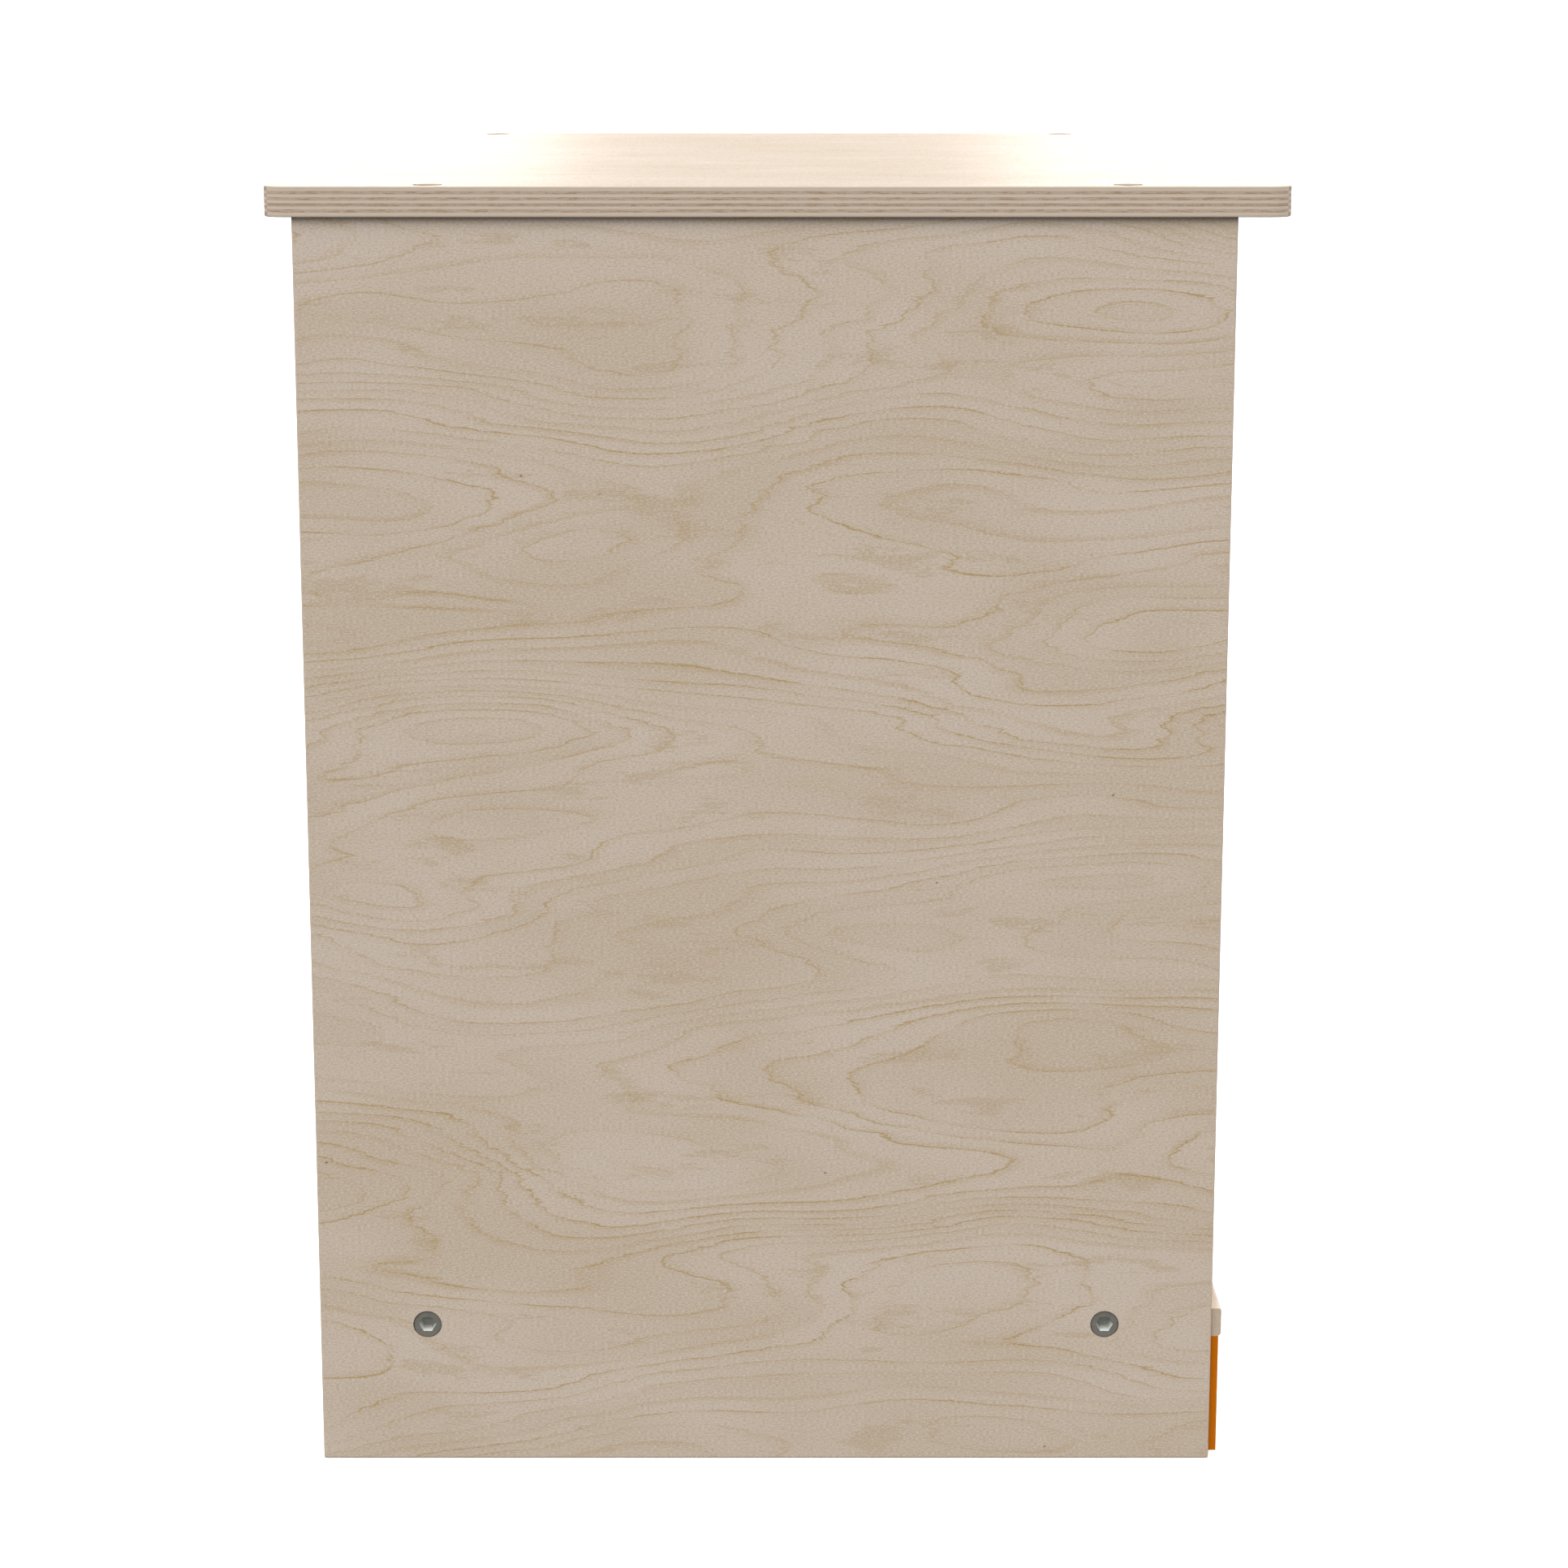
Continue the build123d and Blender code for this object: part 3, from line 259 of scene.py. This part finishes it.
# ------------------------------------------------------------------ wood
def growth_height(g, u, v, side):
    """A height over the veneer whose whole-number contours are its growth lines."""
    ragged = g.noise(g.stretched((u, v), (44, 8), side), 3.0, 0.6)
    u = g.add(u, g.mul(g.sub(ragged, 0.5), RAGGED_SHIFT))
    broad = g.noise(g.stretched((u, v), (340, 84), side), 0.6)
    local = g.noise(g.stretched((u, v), (110, 26), side), 0.0)
    height = g.add(g.mul(v, 1 / LINE_PITCH), g.mul(broad, BROAD_BEND))
    return g.add(height, g.mul(local, LOCAL_BEND))


def veneer(g, u, v, side):
    """Rotary-cut birch: long thin growth lines, tan patches where they turn, pores and specks."""
    height = growth_height(g, u, v, side)
    slope_v = g.mul(g.sub(growth_height(g, u, g.add(v, STEP_ACROSS), side), height), 1 / STEP_ACROSS)
    slope_u = g.mul(g.sub(growth_height(g, g.add(u, STEP_ALONG), v, side), height), 1 / STEP_ALONG)
    slope = g.math("SQRT", g.add(g.mul(slope_u, slope_u), g.mul(slope_v, slope_v)))
    line_slope = g.math("MAXIMUM", slope, STEEP)
    ring = g.math("FLOOR", height)
    past_line = g.math("FRACT", height)

    jag = g.noise(g.stretched((u, v), (6, 1.2), side), 2.0, 0.6)
    jag = g.mul(g.sub(jag, 0.5), JAG)
    sharp_gap = g.add(g.math("DIVIDE", past_line, line_slope), jag)
    soft_gap = g.add(g.math("DIVIDE", g.sub(1.0, past_line), line_slope), jag)
    sharp = g.ramp(sharp_gap, LINE_CORE, LINE_EDGE, 1.0, 0.0)
    soft = g.ramp(soft_gap, 0.0, LINE_FADE, 0.34, 0.0)

    ring_strength = g.ramp(g.random(ring, 3.0), 0.0, 1.0, 0.25, 1.0, smooth=False)
    along = g.noise(g.stretched((u, v), (60, 16), g.add(side, 2.0)), 2.0)
    along = g.ramp(along, 0.34, 0.58, 0.25, 1.0)
    line = g.mul(g.mul(g.math("MAXIMUM", sharp, soft), ring_strength), along)
    line = g.mul(line, g.ramp(slope, 8.0, 35.0, 0.3, 1.0))

    turning = g.ramp(slope, CALM, STEEP, 1.0, 0.0)
    patch = g.noise(g.stretched((u, v), (70, 17), g.add(side, 5.0)), 4.0, 0.68)
    patch = g.mul(g.ramp(patch, 0.55, 0.61), g.ramp(turning, 0.0, 1.0, 0.2, 1.0))

    tone = g.noise(g.stretched((u, v), (150, 70), g.add(side, 9.0)), 2.0)
    tone = g.add(tone, g.mul(g.sub(g.random(ring, 5.0), 0.5), 0.13))
    color = g.mix(g.ramp(tone, 0.28, 0.72), BIRCH_PALE, BIRCH)
    color = g.mix(g.mul(patch, 0.60), color, BIRCH_TAN)
    color = g.mix(line, color, BIRCH_LINE)

    fibre = g.noise(g.stretched((u, v), (2.0, 0.8), side), 2.0, 0.8)
    color = g.mix(g.ramp(fibre, 0.50, 0.66, 0.0, 0.50), color, BIRCH_SHADE)
    color = g.mix(g.ramp(fibre, 0.50, 0.34, 0.0, 0.56), color, BIRCH_BRIGHT)

    pore = g.noise(g.stretched((u, v), (2.8, 0.40), g.add(side, 1.0)), 1.0)
    color = g.mix(g.ramp(pore, 0.68, 0.80, 0.0, 0.40), color, PORE)

    speck_gap, speck_kind = g.cells(g.stretched((u, v), (42, 30), side))
    speck = g.mul(g.ramp(speck_gap, 0.016, 0.030, 1.0, 0.0), g.ramp(speck_kind, 0.45, 0.5))
    color = g.mix(g.mul(speck, 0.8), color, PORE)
    return color, fibre


def plies(g, u, v, depth, ply, count, along_grain):
    """The board's edge: plies that show end grain and long grain by turns, with glue between them."""
    past_outer = g.sub(depth, ply * OUTER_PLY)
    inner = g.mul(past_outer, 1 / ply)
    inner = g.math("MINIMUM", g.math("MAXIMUM", inner, -0.5), count - 1.5)
    layer = g.add(g.math("FLOOR", inner), 1.0)
    crossed = g.math("MODULO", layer, 2.0)
    end_grain = g.math("ABSOLUTE", g.sub(crossed, along_grain))

    streak = g.noise(g.stretched((u, v, depth), (9, 9, 0.3)), 3.0, 0.6)
    speckle = g.noise(g.stretched((u, v, depth), (0.8, 0.8, 0.6)), 2.0, 0.6)
    dash = g.ramp(g.noise(g.stretched((u, v, depth), (11, 11, 0.9)), 4.0, 0.8), 0.50, 0.56)
    shade = g.ramp(g.random(layer, 7.0), 0.0, 1.0, -0.10, 0.10, smooth=False)
    length_color = g.mix(g.ramp(g.add(streak, shade), 0.35, 0.75, 0.0, 0.45), BIRCH_PALE, BIRCH_TAN)
    end_color = g.mix(g.ramp(g.add(speckle, shade), 0.35, 0.72, 0.0, 0.5), BIRCH_END_GRAIN, GLUE)
    end_color = g.mix(g.mul(dash, 0.75), end_color, END_STREAK)
    color = g.mix(end_grain, length_color, end_color)

    seam = g.math("PINGPONG", past_outer, ply)
    seam = g.math("MINIMUM", seam, g.sub(ply, seam))
    seam = g.add(seam, g.mul(g.sub(streak, 0.5), SEAM_WOBBLE))
    seam = g.mul(g.ramp(seam, SEAM_CORE, SEAM_EDGE, 1.0, 0.0), 0.35)
    return g.mix(seam, color, GLUE), speckle


def plywood(name, thickness_way, grain_way, seed):
    """A board's own plywood: veneer on its two faces, plies on every edge, bore and groove."""
    thickness_way = Vector(thickness_way).normalized()
    grain_way = Vector(grain_way).normalized()
    across_way = thickness_way.cross(grain_way)
    depths = [vertex.co.dot(thickness_way) for vertex in frame["nodes"][name].data.vertices]
    low, thickness = min(depths), max(depths) - min(depths)
    count = 2 * round((thickness / MEAN_PLY - 1) / 2) + 1
    ply = thickness / (count - 2 + 2 * OUTER_PLY)

    g = Graph("birch_plywood." + name)
    depth = g.sub(g.dot(g.position, thickness_way), low)
    u = g.add(g.dot(g.position, grain_way), seed * SEED_ALONG)
    v = g.add(g.dot(g.position, across_way), seed * SEED_ACROSS)
    far_face = g.math("GREATER_THAN", depth, thickness / 2)
    side = g.add(g.mul(far_face, FAR_FACE_SEED), seed)
    face_color, fibre = veneer(g, u, v, side)
    edge_color, speckle = plies(g, u, v, depth, ply, count, g.faces(grain_way, 0.8))

    from_face = g.math("MINIMUM", depth, g.sub(thickness, depth))
    edge = g.math("GREATER_THAN", from_face, FACE_SKIN)
    grain = g.add(g.mul(g.sub(1.0, edge), fibre), g.mul(edge, speckle))
    g.bump(grain, 0.06 * MM)
    rough = g.add(g.ramp(grain, 0.3, 0.7, 0.40, 0.52), g.mul(edge, 0.16))
    return g.finish(g.mix(edge, face_color, edge_color), rough, specular=0.35)


def beech(name, grain_way, seed):
    """Planed beech: a warm ground, soft rings and short dark flecks along the grain."""
    grain_way = Vector(grain_way).normalized()
    side_way = grain_way.orthogonal().normalized()
    g = Graph("beech." + name)
    along = g.add(g.dot(g.position, grain_way), seed * BEECH_SEED_ALONG)
    places = (along, g.dot(g.position, side_way), g.dot(g.position, grain_way.cross(side_way)))
    rings = g.noise(g.stretched(places, (260, 7, 7)), 2.0, 0.55)
    fleck = g.noise(g.stretched(places, (3.2, 0.35, 0.35)), 1.0)
    fibre = g.noise(g.stretched(places, (14, 0.5, 0.5)), 3.0, 0.6)
    color = g.mix(g.ramp(rings, 0.35, 0.7, 0.0, 0.55), BEECH, BEECH_DARK)
    color = g.mix(g.ramp(fibre, 0.4, 0.75, 0.0, 0.3), color, BEECH_DARK)
    color = g.mix(g.ramp(fleck, 0.66, 0.76, 0.0, 0.7), color, BEECH_FLECK)
    g.bump(fibre, 0.05 * MM)
    return g.finish(color, g.ramp(fibre, 0.3, 0.7, 0.5, 0.62))


def solid_birch(name):
    """A planed birch strip along X: fine long grain on its sides, smooth fine end grain on its ends."""
    g = Graph("solid_birch." + name)
    growth = g.noise(g.scaled(180, 3, 3), 2.0, 0.6)
    fibre = g.noise(g.scaled(9, 0.6, 0.6), 3.0, 0.6)
    color = g.mix(g.ramp(growth, 0.35, 0.70, 0.0, 0.7), BIRCH_PALE, BIRCH_TAN)
    color = g.mix(g.ramp(fibre, 0.45, 0.75, 0.0, 0.3), color, BIRCH_LINE)
    color = g.mix(g.mul(g.faces(X, 0.7), 0.45), color, BIRCH_END_GRAIN)
    g.bump(fibre, 0.05 * MM)
    return g.finish(color, g.ramp(fibre, 0.3, 0.7, 0.42, 0.54), specular=0.35)


# ------------------------------------------------------------------ paint
def edge_closeness(g, name, reach):
    """1 on the outer edges of a node's box and 0 at a reach from them."""
    low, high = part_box(name)
    gaps = []
    for axis, way in enumerate((X, Y, Z)):
        along = g.dot(g.position, way)
        gaps.append(g.math("MINIMUM", g.sub(along, low[axis]), g.sub(high[axis], along)))
    x, y, z = gaps
    middle = g.math("MAXIMUM", g.math("MINIMUM", x, y), g.math("MINIMUM", g.math("MAXIMUM", x, y), z))
    return g.ramp(middle, 0.0, reach, 1.0, 0.0)


def orange_paint(name):
    """Satin paint rolled on a board: orange peel, a slight cloudiness, and rubbed edges."""
    g = Graph("orange_paint." + name)
    cloud = g.noise(g.scaled(60), 3.0, 0.6)
    peel = g.noise(g.scaled(1.6), 2.0, 0.5)
    grain = g.noise(g.scaled(40, 1.2, 1.2), 2.0, 0.6)
    chips = g.noise(g.scaled(9, 2.5, 5), 3.0, 0.65)
    lightened_share = g.mul(edge_closeness(g, name, RUBBED_REACH), g.ramp(chips, 0.42, 0.62))
    color = g.mix(g.ramp(cloud, 0.3, 0.7, 0.0, 0.35), ORANGE, ORANGE_DEEP)
    color = g.mix(g.mul(lightened_share, 0.55), color, ORANGE_WORN)
    g.bump(g.add(g.mul(peel, 0.7), g.mul(grain, 0.5)), 0.05 * MM, 0.6)
    return g.finish(color, g.ramp(cloud, 0.3, 0.7, 0.36, 0.46), specular=0.12)


def powder_coat(name):
    """Powder coat on sheet steel: a fine even pebble texture."""
    g = Graph("orange_powder_coat." + name)
    pebble = g.noise(g.scaled(0.7), 2.0, 0.55)
    cloud = g.noise(g.scaled(45), 2.0, 0.5)
    color = g.mix(g.ramp(cloud, 0.3, 0.7, 0.0, 0.6), ORANGE, ORANGE_DEEP)
    g.bump(pebble, 0.05 * MM, 0.6)
    return g.finish(color, g.ramp(pebble, 0.3, 0.7, 0.34, 0.5), specular=0.2)


# ------------------------------------------------------------------ metal, rubber and nylon
def bolt_steel(name, axis):
    """Dark plated bolts: turned rings on the head, and a painted highlight on the socket's walls, with
    painted shade on its floor.
    """
    ways = (X, Y, Z)
    head_low, head_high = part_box("shelf_bolts_left")
    head_radius = (head_high[2] - head_low[2]) / 2
    low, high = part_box(name)
    g = Graph("bolt_steel." + name)
    squares = []
    for side in range(3):
        if side != axis:
            along = g.dot(g.position, ways[side])
            ends = sorted({low[side] + head_radius, high[side] - head_radius})
            gaps = [g.math("ABSOLUTE", g.sub(along, end)) for end in ends]
            gap = g.math("MINIMUM", gaps[0], gaps[-1])
            squares.append(g.mul(gap, gap))
    radius = g.math("SQRT", g.add(*squares))
    along_axis = g.dot(g.position, ways[axis])
    from_end = g.math("MINIMUM", g.sub(along_axis, low[axis]), g.sub(high[axis], along_axis))
    # Painted highlight: bright colour in the socket, from its mouth to past its floor and corners.
    in_socket = g.mul(g.ramp(from_end, *SOCKET_MOUTH), g.ramp(from_end, *SOCKET_FLOOR))
    in_socket = g.mul(in_socket, g.ramp(radius, *SOCKET_SIDE, 1.0, 0.0))

    cloud = g.noise(g.scaled(3), 3.0, 0.6)
    rings = g.noise(g.stretched((radius,), (0.22,), 0.0, 0.0), 2.0, 0.6)
    marks = g.noise(g.scaled(0.5), 2.0, 0.6)
    color = g.mix(g.ramp(cloud, 0.3, 0.7), BOLT_GREY, BOLT_DARK)
    color = g.mix(g.ramp(rings, 0.45, 0.75, 0.0, 0.3), color, BOLT_DARK)
    # Painted shade: the socket's floor, which looks along the bolt, keeps less of the painted highlight.
    highlight_less_floor_shade = g.sub(1.0, g.mul(g.faces(ways[axis], 0.7), SOCKET_FLOOR_SHADE))
    lightened_share = g.mul(highlight_less_floor_shade, g.ramp(marks, 0.3, 0.7, 1.0, 0.85))
    # Mixes in the painted highlight, broken up a little by handling marks.
    color = g.mix(g.mul(in_socket, lightened_share), color, SOCKET_HIGHLIGHT)
    g.bump(g.add(g.mul(rings, 0.5), g.mul(marks, 0.3)), 0.02 * MM, 0.4)
    return g.finish(color, g.ramp(marks, 0.3, 0.7, 0.50, 0.62), metallic=0.05, specular=0.0)


def plated(name, color, dark, rough, grain, depth):
    """Plated metal: cloudy plating with fine handling marks, whose grain is in millimetres."""
    g = Graph(name)
    cloud = g.noise(g.scaled(6), 3.0, 0.6)
    marks = g.noise(g.scaled(grain, grain * 4, grain), 3.0, 0.65)
    tint = g.mix(g.ramp(cloud, 0.3, 0.7), color, dark)
    tint = g.mix(g.ramp(marks, 0.5, 0.8, 0.0, 0.4), tint, dark)
    g.bump(marks, depth)
    return g.finish(tint, g.ramp(marks, 0.3, 0.7, rough - 0.07, rough + 0.09), metallic=1.0)


def plain_polymer(name, color, dark, rough, grain, depth):
    """Rubber or nylon: a faint cloudiness and a moulded skin, whose grain is in millimetres."""
    g = Graph(name)
    cloud = g.noise(g.scaled(5))
    skin = g.noise(g.scaled(grain), 3.0, 0.6)
    tint = g.mix(g.ramp(cloud, 0.3, 0.7), color, dark)
    g.bump(skin, depth)
    return g.finish(tint, g.ramp(skin, 0.3, 0.7, rough, rough + 0.12))


# ------------------------------------------------------------------ which node has which material
def dress(name, material):
    """Puts one material on a CAD node."""
    slots = frame["nodes"][name].data.materials
    slots.clear()
    slots.append(material)


def dress_all():
    """Gives every node its finish, by the record's material slots."""
    shared = {
        "zinc_steel": plated("zinc_steel", ZINC, ZINC_DARK, 0.34, 0.6, 0.02 * MM),
        "nickel_plate": plated("nickel_plate", NICKEL, NICKEL_DARK, 0.2, 0.4, 0.01 * MM),
        "black_rubber": plain_polymer("black_rubber", RUBBER, RUBBER_WORN, 0.62, 0.4, 0.04 * MM),
        "white_nylon": plain_polymer("white_nylon", NYLON, NYLON_DARK, 0.4, 0.5, 0.02 * MM),
        "orange_powder_coat": powder_coat("drop_flap"),
    }
    for row in frame["record"]["subparts"]:
        name, slot = row["node"], row["material_slot"]
        if name in BOARDS:
            dress(name, plywood(name, *BOARDS[name]))
        elif slot == "bolt_steel":
            dress(name, bolt_steel(name, 2 if name == "top_bolts" else 0))
        elif slot == "solid_birch":
            dress(name, solid_birch(name))
        elif slot == "orange_paint":
            dress(name, orange_paint(name))
        elif slot == "beech":
            dress(name, beech(name, BEECH_GRAIN.get(name, X), len(name)))
        else:
            dress(name, shared[slot])


# ------------------------------------------------------------------ studio
HORIZON = (-0.15, 0.10)     # the dome dims from the upper of these heights to the lower


def world_light(above, below):
    """An even pale dome, dimmer under the horizon."""
    world = bpy.data.worlds.new("studio")
    bpy.context.scene.world = world
    world.use_nodes = True
    nodes, links = world.node_tree.nodes, world.node_tree.links
    place = nodes.new("ShaderNodeTexCoord")
    split = nodes.new("ShaderNodeSeparateXYZ")
    level = nodes.new("ShaderNodeMapRange")
    level.interpolation_type = "SMOOTHSTEP"
    level.inputs["From Min"].default_value, level.inputs["From Max"].default_value = HORIZON
    level.inputs["To Min"].default_value = below
    level.inputs["To Max"].default_value = above
    links.new(place.outputs["Generated"], split.inputs[0])
    links.new(split.outputs["Z"], level.inputs["Value"])
    links.new(level.outputs[0], nodes["Background"].inputs["Strength"])
    nodes["Background"].inputs["Color"].default_value = (1.0, 1.0, 1.0, 1.0)


def hang_lamp(name, lamp, place, from_way):
    """Hangs a lamp at a place, with its light coming from a way."""
    holder = bpy.data.objects.new(name, lamp)
    holder.location = place
    holder.rotation_euler = from_way.to_track_quat("Z", "Y").to_euler()
    bpy.context.scene.collection.objects.link(holder)
    return holder


def sun(name, elevation, azimuth, softness, strength):
    """A soft distant light; azimuth 0 comes from +X, 90 from +Y."""
    lamp = bpy.data.lights.new(name, "SUN")
    lamp.angle = math.radians(softness)
    lamp.energy = strength
    rise, turn = math.radians(elevation), math.radians(azimuth)
    from_way = Vector((math.cos(rise) * math.cos(turn), math.cos(rise) * math.sin(turn), math.sin(rise)))
    hang_lamp(name, lamp, (0.0, 0.0, 0.0), from_way)


def soft_box(name, place, target, size, power):
    """A rectangular light aimed at a point, which the camera doesn't see."""
    lamp = bpy.data.lights.new(name, "AREA")
    lamp.shape = "RECTANGLE"
    lamp.size, lamp.size_y = size
    lamp.energy = power
    holder = hang_lamp(name, lamp, place, Vector(place) - Vector(target))
    holder.visible_camera = False


def floor(half_width, glow):
    """A plain pale floor that fills the view, with a faint glow that lifts the shadows on it."""
    mesh = bpy.data.meshes.new("floor")
    corners = [(x * half_width, y * half_width, 0.0) for x, y in ((-1, -1), (1, -1), (1, 1), (-1, 1))]
    mesh.from_pydata(corners, [], [(0, 1, 2, 3)])
    sheet = bpy.data.objects.new("floor", mesh)
    bpy.context.scene.collection.objects.link(sheet)
    g = Graph("pale_floor")
    cloud = g.noise(g.scaled(400), 3.0)
    g.shader.inputs["Emission Color"].default_value = (1.0, 1.0, 1.0, 1.0)
    g.shader.inputs["Emission Strength"].default_value = glow
    mesh.materials.append(g.finish(g.mix(cloud, FLOOR_PALE, FLOOR_DIM), 0.8))
    sheet.visible_diffuse = False
    sheet.visible_glossy = False


def camera(distance, along, height, pitch, lens):
    """A camera beside the left side panel, a little above the top and tilted down."""
    data = bpy.data.cameras.new("camera")
    data.sensor_width = 36.0
    data.lens = lens
    data.clip_end = 500.0
    holder = bpy.data.objects.new("camera", data)
    near_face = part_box("side_panel_left")[0][0]
    holder.location = (near_face - distance, along, height)
    holder.rotation_euler = (math.radians(90 - pitch), 0.0, math.radians(-90))
    bpy.context.scene.collection.objects.link(holder)
    bpy.context.scene.camera = holder


camera(distance=2.2965, along=-0.0037, height=0.9366, pitch=12.375, lens=89.52)
dress_all()
world_light(above=0.59, below=0.12)
sun("key", elevation=46, azimuth=166, softness=50, strength=2.18)
sun("overhead", elevation=88, azimuth=180, softness=44, strength=0.30)
sun("front_fill", elevation=22, azimuth=292, softness=36, strength=1.3)
sun("back_fill", elevation=22, azimuth=68, softness=36, strength=0.7)
top_height = cad_box[1][2]
for hand in (-1, 1):
    soft_box("rim_%d" % hand, place=(2.6, hand * 1.35, 1.2), target=(0.0, hand * 1.0, top_height),
             size=(2.1, 0.9), power=27.0)
floor(half_width=60.0, glow=0.60)
bpy.context.scene.view_settings.view_transform = "Standard"
